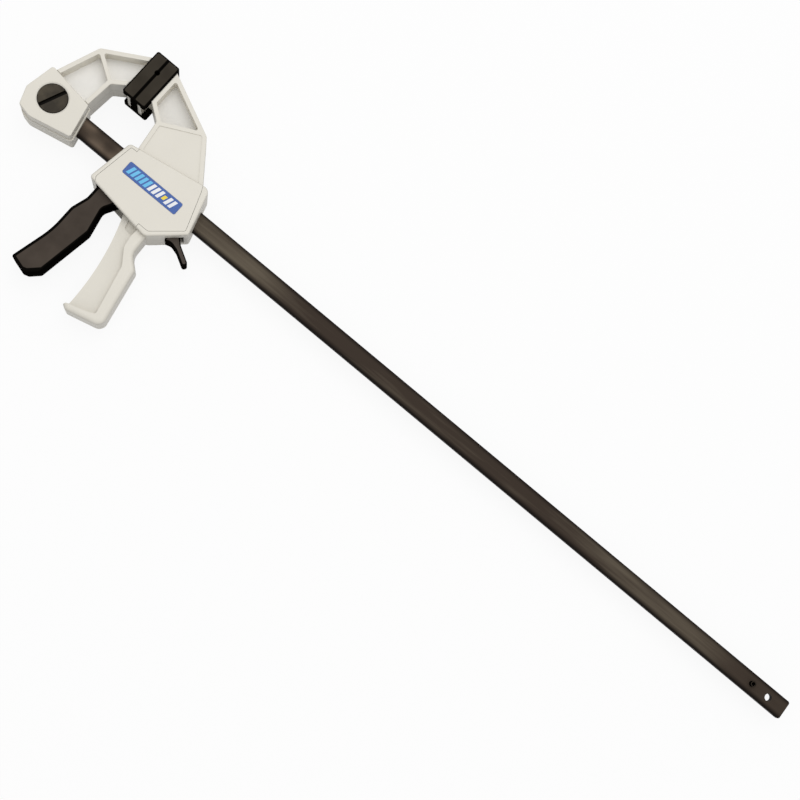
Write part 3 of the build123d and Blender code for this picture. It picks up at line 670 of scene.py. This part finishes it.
def fill_again(build, height, dust_and_shade, rim, step):
    """Replace the faces of one outer flat by a fine net that knows how far its edge is."""
    flat = level_faces(build, height, SAME_HEIGHT)
    known = set(flat)
    edges = [edge for edge in build.edges if sum(face in known for face in edge.link_faces) == 1]
    corners = list({vertex: None for edge in edges for vertex in edge.verts})
    outline = [tuple(vertex.co.xy for vertex in edge.verts) for edge in edges]
    net = net_of(outline, step)
    normals = build.loops.layers.float_vector[NORMALS]
    bmesh.ops.delete(build, geom=flat, context="FACES")
    points = [vertex.co.xy for vertex in corners] + [spot for spot, reach in net]
    place = {vertex: number for number, vertex in enumerate(corners)}
    fixed = [tuple(place[vertex] for vertex in edge.verts) for edge in edges]
    for spot, reach in net:
        vertex = build.verts.new((spot.x, spot.y, height))
        vertex[dust_and_shade] = reach / rim
        corners.append(vertex)
    spots, _, faces, origin, _, _ = delaunay_2d_cdt(
        points, fixed, [], INSIDE_OUTLINE, SAME_SPOT)
    for face in faces:
        middle = sum((spots[number] for number in face), Vector((0.0, 0.0))) / len(face)
        if is_inside(middle, outline):
            turn = face if height > 0 else face[::-1]
            filled = build.faces.new([corners[origin[number][0]] for number in turn])
            for corner in filled.loops:
                corner[normals] = (0.0, 0.0, math.copysign(1.0, height))


def dust_and_shade_copy(node, body, rim, step):
    """Show a dark solid by a copy whose outer flats carry dust inside a rim painted black as shade.
    """
    build = merged(node)
    dust_and_shade = build.verts.layers.float.new(DUST_AND_SHADE_MARK)
    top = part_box(node)[1].z
    for height in (top, -top):
        fill_again(build, height, dust_and_shade, rim, step)
    stand_in(build, node, node + "_dusty", body)


dust_and_shade_copy("trigger", "trigger", rim=1.4 * MM, step=2.0 * MM)
dust_and_shade_copy("release_lever", "release", rim=0.3 * MM, step=1.0 * MM)
dust_and_shade_copy("fixed_jaw_pad", "bar_and_fixed_jaw", rim=0.6 * MM, step=1.5 * MM)
dust_and_shade_copy("moving_jaw_pad", "sliding_jaw", rim=0.6 * MM, step=1.5 * MM)
dust_and_shade_copy("stop_pin", "bar_and_fixed_jaw", rim=0.2 * MM, step=0.4 * MM)

# %% [markdown]
# ## Pockets of the jaws
#
# A wall that rises from a pale web catches light from it, so it is left out of the painted
# shade that darkens the outer walls. Such a wall is found on the mesh: its first faces
# meet the web in an inward corner, and each further face lies next to one of the wall's
# faces and looks about the same way.

# %% Jaws with marked pockets
ABOUT_ALIKE = 0.9  # the least product of two neighbours' normals on one wall


def pocket_walls(build):
    """The faces of all walls that rise from a web."""
    floor = level_faces(build, 0.0, WEB_HIGHEST)
    known = set(floor)
    ready = [
        other for face in floor for edge in face.edges if not edge.is_convex
        for other in edge.link_faces if other not in known
    ]
    walls = set()
    while ready:
        face = ready.pop()
        if face in walls or face in known:
            continue
        walls.add(face)
        for edge in face.edges:
            ready += [
                other for other in edge.link_faces
                if other.normal.dot(face.normal) > ABOUT_ALIKE
            ]
    return walls


def pocketed(node, body):
    """Show a jaw by a copy whose pocket walls carry a mark."""
    build = merged(node)
    mark = build.faces.layers.float.new(POCKET)
    walls = pocket_walls(build)
    for face in walls:
        face[mark] = 1.0
    print(node, len(walls), "faces on pocket walls")
    stand_in(build, node, node + "_pocketed", body)


pocketed("fixed_jaw", "bar_and_fixed_jaw")
pocketed("moving_jaw", "sliding_jaw")

# %% [markdown]
# ## Trees that become meshes
#
# Geometry Nodes suit what follows a path or repeats by a rule, such as a coil or a row
# of marks. A tree is only a recipe, so at the end its result is turned into a plain
# mesh and the modifier goes away. Three helpers start a tree with named sizes, close it
# with a finish, and bake it with the sizes filled in by each socket's identifier.

# %% Helpers for node trees
def new_tree(name, sizes):
    """An empty geometry tree with one named number for each usual size, and its ends."""
    tree = bpy.data.node_groups.new(name, "GeometryNodeTree")
    for size, usual in sizes.items():
        kind = "NodeSocketInt" if isinstance(usual, int) else "NodeSocketFloat"
        socket = tree.interface.new_socket(size, in_out="INPUT", socket_type=kind)
        socket.default_value = usual
    tree.interface.new_socket("Geometry", in_out="OUTPUT", socket_type="NodeSocketGeometry")
    start = tree.nodes.new("NodeGroupInput")
    end = tree.nodes.new("NodeGroupOutput")
    return tree, start, end


def finish_tree(tree, end, shape, finish):
    """Close a tree: real geometry, then its finish."""
    real = tree.nodes.new("GeometryNodeRealizeInstances")
    paint = tree.nodes.new("GeometryNodeSetMaterial")
    paint.inputs["Material"].default_value = finish
    tree.links.new(shape, real.inputs["Geometry"])
    tree.links.new(real.outputs["Geometry"], paint.inputs["Geometry"])
    tree.links.new(paint.outputs["Geometry"], end.inputs["Geometry"])


def bake(name, tree, sizes, move=(0.0, 0.0, 0.0), turn=(0.0, 0.0, 0.0)):
    """Run a tree with these sizes and return its result as a plain mesh piece."""
    holder = bpy.data.objects.new(name + "_recipe", bpy.data.meshes.new(name + "_recipe"))
    bpy.context.collection.objects.link(holder)
    recipe = holder.modifiers.new("recipe", "NODES")
    recipe.node_group = tree
    for socket in tree.interface.items_tree:
        if socket.in_out == "INPUT":
            recipe[socket.identifier] = sizes[socket.name]
    bpy.context.view_layer.update()
    ready = holder.evaluated_get(bpy.context.evaluated_depsgraph_get())
    mesh = bpy.data.meshes.new_from_object(ready)
    holder.modifiers.remove(recipe)
    bpy.data.objects.remove(holder)
    mesh.transform(Euler(turn).to_matrix().to_4x4())
    for vertex in mesh.vertices:
        vertex.co += Vector(move)
    piece = bpy.data.objects.new(name, mesh)
    bpy.context.collection.objects.link(piece)
    print(name, len(mesh.polygons), "faces")
    return piece


# %% [markdown]
# ## The two springs
#
# A compression spring is a round wire on a helix. Inside the sliding jaw the large one
# pushes the drive plates back after each squeeze, and the small one keeps the brake
# plate tilted on the bar. Curve Spiral draws the helix and Curve to Mesh sweeps a small
# circle along it, so wire and coil stay true sizes.

# %% Spring tree
STEPS_PER_TURN = 28
WIRE_SIDES = 14
USUAL_SPRING = {
    "Turns": 6.0, "Coil Radius": 10 * MM, "Length": 30 * MM, "Wire Radius": 1 * MM
}


def spring_tree(finish):
    """Round wire wound on a helix that rises along Z."""
    tree, start, end = new_tree("coil_spring", USUAL_SPRING)
    helix = tree.nodes.new("GeometryNodeCurveSpiral")
    helix.inputs["Resolution"].default_value = STEPS_PER_TURN
    wire = tree.nodes.new("GeometryNodeCurvePrimitiveCircle")
    wire.inputs["Resolution"].default_value = WIRE_SIDES
    sweep = tree.nodes.new("GeometryNodeCurveToMesh")
    sweep.inputs["Fill Caps"].default_value = True
    tree.links.new(start.outputs["Turns"], helix.inputs["Rotations"])
    tree.links.new(start.outputs["Coil Radius"], helix.inputs["Start Radius"])
    tree.links.new(start.outputs["Coil Radius"], helix.inputs["End Radius"])
    tree.links.new(start.outputs["Length"], helix.inputs["Height"])
    tree.links.new(start.outputs["Wire Radius"], wire.inputs["Radius"])
    tree.links.new(helix.outputs["Curve"], sweep.inputs["Curve"])
    tree.links.new(wire.outputs["Curve"], sweep.inputs["Profile Curve"])
    smooth = tree.nodes.new("GeometryNodeSetShadeSmooth")
    tree.links.new(sweep.outputs["Mesh"], smooth.inputs["Geometry"])
    finish_tree(tree, end, smooth.outputs["Geometry"], finish)
    return tree


# %% Wind both springs
def wind(node, tree, turns, wire_radius):
    """Fine coil in place of a node."""
    low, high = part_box(node)
    middle_y = (low.y + high.y) / 2
    sizes = {
        "Turns": turns,
        "Coil Radius": (high.y - low.y) / 2 - wire_radius,
        "Length": high.x - low.x - 2 * wire_radius,
        "Wire Radius": wire_radius,
    }
    start = (low.x + wire_radius, middle_y, 0.0)
    coil = bake(node + "_wire", tree, sizes, move=start, turn=(0.0, math.radians(90), 0.0))
    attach(coil, "sliding_jaw")
    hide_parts(node)
    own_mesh(coil)


coil_recipe = spring_tree(spring_wire)
wind("drive_spring", coil_recipe, 6.0, 1.0 * MM)
wind("brake_spring", coil_recipe, 5.0, 0.45 * MM)

# %% [markdown]
# ## The label's print
#
# The print says nothing: a row of slanted bars that turns from sky blue to white, with a
# short yellow bar among them. They are a few hundredths of a millimetre of ink, so each
# is a very thin box on the plate. One tree makes all bars of a colour: Mesh Line gives
# the places and Instance on Points sets an upright bar on each, and the baked row is
# then leaned over.

# %% Print the label
INK = 0.06 * MM
BAR_LONG = 9.4 * MM
BAR_SHORT = 5.2 * MM
BAR_WIDE = 3.6 * MM
BAR_PITCH = 5.4 * MM
BAR_SLANT = 0.35
FIRST_BAR = 6.5 * MM  # from the label's left end
PRINT = [  # from left to right: name, colour, how many bars, and how long
    ("sky", PRINT_SKY, 5, BAR_LONG),
    ("white", PRINT_WHITE, 3, BAR_LONG),
    ("yellow", PRINT_YELLOW, 1, BAR_SHORT),
    ("white_end", PRINT_WHITE, 2, BAR_LONG),
]


def print_tree(name, finish):
    """A row of upright flat bars along X, each centred on its place."""
    usual = {"Count": 1, "Pitch": BAR_PITCH, "Long": BAR_LONG, "Wide": BAR_WIDE}
    tree, start, end = new_tree(name, usual)
    row = tree.nodes.new("GeometryNodeMeshLine")
    step_along = tree.nodes.new("ShaderNodeCombineXYZ")
    slab = tree.nodes.new("GeometryNodeMeshCube")
    slab_size = tree.nodes.new("ShaderNodeCombineXYZ")
    slab_size.inputs["Z"].default_value = INK
    place = tree.nodes.new("GeometryNodeInstanceOnPoints")
    tree.links.new(start.outputs["Count"], row.inputs["Count"])
    tree.links.new(start.outputs["Pitch"], step_along.inputs["X"])
    tree.links.new(step_along.outputs["Vector"], row.inputs["Offset"])
    tree.links.new(start.outputs["Wide"], slab_size.inputs["X"])
    tree.links.new(start.outputs["Long"], slab_size.inputs["Y"])
    tree.links.new(slab_size.outputs["Vector"], slab.inputs["Size"])
    tree.links.new(row.outputs["Mesh"], place.inputs["Points"])
    tree.links.new(slab.outputs["Mesh"], place.inputs["Instance"])
    finish_tree(tree, end, place.outputs["Instances"], finish)
    return tree


def slant(piece, centre_y):
    """Lean the bars of a baked row towards +X."""
    for vertex in piece.data.vertices:
        vertex.co.x += (vertex.co.y - centre_y) * BAR_SLANT


def print_row(name, finish, first_x, count, long):
    """A printed row on the label's face, starting at first_x from its left end."""
    low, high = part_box("label_plate")
    centre_y = (low.y + high.y) / 2
    sizes = {"Count": count, "Pitch": BAR_PITCH, "Long": long, "Wide": BAR_WIDE}
    place = (low.x + first_x, centre_y, high.z + INK / 2)
    row = bake(name, print_tree(name, finish), sizes, move=place)
    slant(row, centre_y)
    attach(row, "sliding_jaw")


next_bar = FIRST_BAR
for colour_name, color, count, long in PRINT:
    print_row("print_" + colour_name, lacquer("ink_" + colour_name, color), next_bar, count, long)
    next_bar += count * BAR_PITCH

# %% [markdown]
# ## Floor, light and camera
#
# The clamp lies on its back on a white sweep. A colour renders about as it is written
# when world and lamps together give one unit of light, so the pale world gives most of
# it and a big soft box overhead the rest. The floor shows itself to the camera as white,
# mixed with its own lit surface, so that it still holds a soft shadow.

# %% Floor
FLOOR_HALF = 6.0
FLOOR_GAP = 0.1 * MM  # keeps the clamp's flat back clear of the floor
FLOOR_WHITE = (0.85, 0.85, 0.85)
GLOW_SHARE = 0.9


def seen_directly(tree):
    """1 for rays from the camera and for those that a gloss or a clear piece sends on."""
    ray = tree.nodes.new("ShaderNodeLightPath")
    glossy, clear = ray.outputs["Is Glossy Ray"], ray.outputs["Is Transmission Ray"]
    seen = arithmetic(tree, "ADD", ray.outputs["Is Camera Ray"], glossy)
    return arithmetic(tree, "ADD", seen, clear)


def white_sweep():
    """Floor finish: mostly white where it is seen, and plain pale to the light it passes on."""
    finish, tree, shader, _ = new_finish(
        "white_sweep", FLOOR_WHITE, roughness=0.9, gloss=0.0)
    glow = tree.nodes.new("ShaderNodeEmission")
    mix = tree.nodes.new("ShaderNodeMixShader")
    share = arithmetic(tree, "MULTIPLY", seen_directly(tree), GLOW_SHARE)
    tree.links.new(share, mix.inputs["Fac"])
    tree.links.new(shader.outputs["BSDF"], mix.inputs[1])
    tree.links.new(glow.outputs["Emission"], mix.inputs[2])
    tree.links.new(mix.outputs["Shader"], tree.nodes["Material Output"].inputs["Surface"])
    return finish


def floor_under(height):
    """A square floor at that height, facing up."""
    mesh = bpy.data.meshes.new("floor")
    build = bmesh.new()
    corners = [(-1, -1), (1, -1), (1, 1), (-1, 1)]
    build.faces.new([build.verts.new((x * FLOOR_HALF, y * FLOOR_HALF, height)) for x, y in corners])
    build.to_mesh(mesh)
    build.free()
    mesh.materials.append(white_sweep())
    floor = bpy.data.objects.new("floor", mesh)
    bpy.context.collection.objects.link(floor)


floor_under(cad_low.z - FLOOR_GAP)
print("floor at", cad_low.z - FLOOR_GAP)

# %% Light
WORLD_SHARE = 0.7
BOX_SIZE = 2.4
BOX_PLACE = (0.1, 0.9, 2.5)
BOX_AIM = (0.2, 0.0, 0.0)
BOX_POWER = 27.0


def soft_world():
    """White surroundings: full white where they are seen, the world's share as light."""
    world = bpy.data.worlds.new("studio")
    bpy.context.scene.world = world
    world.use_nodes = True
    tree = world.node_tree
    strength = tree.nodes.new("ShaderNodeMapRange")
    strength.inputs["To Min"].default_value = WORLD_SHARE
    strength.inputs["To Max"].default_value = 1.0
    tree.links.new(seen_directly(tree), strength.inputs["Value"])
    tree.links.new(strength.outputs["Result"], tree.nodes["Background"].inputs["Strength"])
    tree.nodes["Background"].inputs["Color"].default_value = (1.0, 1.0, 1.0, 1.0)


def soft_box(name, place, size, power, aim):
    """A square area lamp that looks at aim."""
    lamp = bpy.data.lights.new(name, "AREA")
    lamp.size, lamp.energy = size, power
    box = bpy.data.objects.new(name, lamp)
    box.location = place
    box.rotation_euler = (Vector(aim) - Vector(place)).to_track_quat("-Z", "Y").to_euler()
    bpy.context.collection.objects.link(box)


soft_world()
soft_box("overhead_box", BOX_PLACE, BOX_SIZE, BOX_POWER, BOX_AIM)
print("one soft box and a pale world")

# %% Camera
CAMERA_PLACE = (0.34776, -0.27924, 1.34287)
CAMERA_TURN = (7.266, -9.2726, 38.8879)  # degrees about X, Y and Z
LENS, SENSOR = 58.906, 36.0  # millimetres, as on a camera
FARTHEST = 50.0

camera = bpy.data.objects.new("camera", bpy.data.cameras.new("camera"))
camera.location = CAMERA_PLACE
camera.rotation_euler = Euler([math.radians(angle) for angle in CAMERA_TURN])
camera.data.lens = LENS
camera.data.sensor_width = SENSOR
camera.data.clip_end = FARTHEST
bpy.context.collection.objects.link(camera)
bpy.context.scene.camera = camera
bpy.context.scene.view_settings.view_transform = "Standard"
print("camera at", CAMERA_PLACE)
